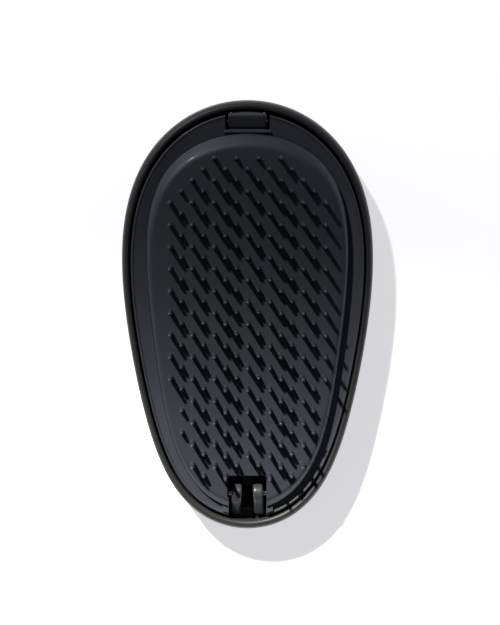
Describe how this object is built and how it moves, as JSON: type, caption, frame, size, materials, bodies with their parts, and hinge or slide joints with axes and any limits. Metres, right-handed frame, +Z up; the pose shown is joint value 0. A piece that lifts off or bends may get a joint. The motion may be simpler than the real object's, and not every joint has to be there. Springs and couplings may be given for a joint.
{
  "type": "folding hairbrush with mirror",
  "caption": "Egg-shaped pocket hairbrush: the pin-covered half folds on a hinge out of a case that holds a mirror, with a rocking release button.",
  "frame": {"origin": "centre of the case's flat rest face, which is the bottom centre of the closed part", "axes": "+Y along the case to its wide end with the button, +Z up out of the pins, +X to the right when the pins face the viewer and the wide end is up"},
  "size_m": [0.0702, 0.12, 0.025],
  "materials": {
    "case_plastic": "polished black moulding",
    "frame_plastic": "satin black moulding",
    "brush_plastic": "black moulding, dull floor and glossy pin tips",
    "pin_steel": "drawn steel",
    "glass_mirror": "silvered glass",
    "tape": "white foam tape"
  },
  "bodies": {
    "case": {"outer_shell": "case_plastic", "mirror_tray": "case_plastic", "mirror_tape": "tape", "mirror_glass": "glass_mirror", "tray_screws": "pin_steel", "hinge_pin_left": "pin_steel", "hinge_pin_right": "pin_steel", "button_pin": "pin_steel", "button_spring": "pin_steel"},
    "brush_half": {"brush_frame": "frame_plastic", "brush_pad": "brush_plastic", "pin_field": "brush_plastic", "back_cover": "frame_plastic"},
    "button": {"release_button": "case_plastic"}
  },
  "joints": [
    {"name": "brush_fold", "type": "hinge", "parent": "case", "child": "brush_half", "pos_m": [0, -0.0493, 0.01335], "axis": [1, 0, 0], "range_deg": [0, 95]},
    {"name": "button_rock", "type": "hinge", "parent": "case", "child": "button", "pos_m": [0, 0.0542, 0.0086], "axis": [-1, 0, 0], "range_deg": [0, 6], "stiffness_Nm_per_rad": 0.08}
  ]
}
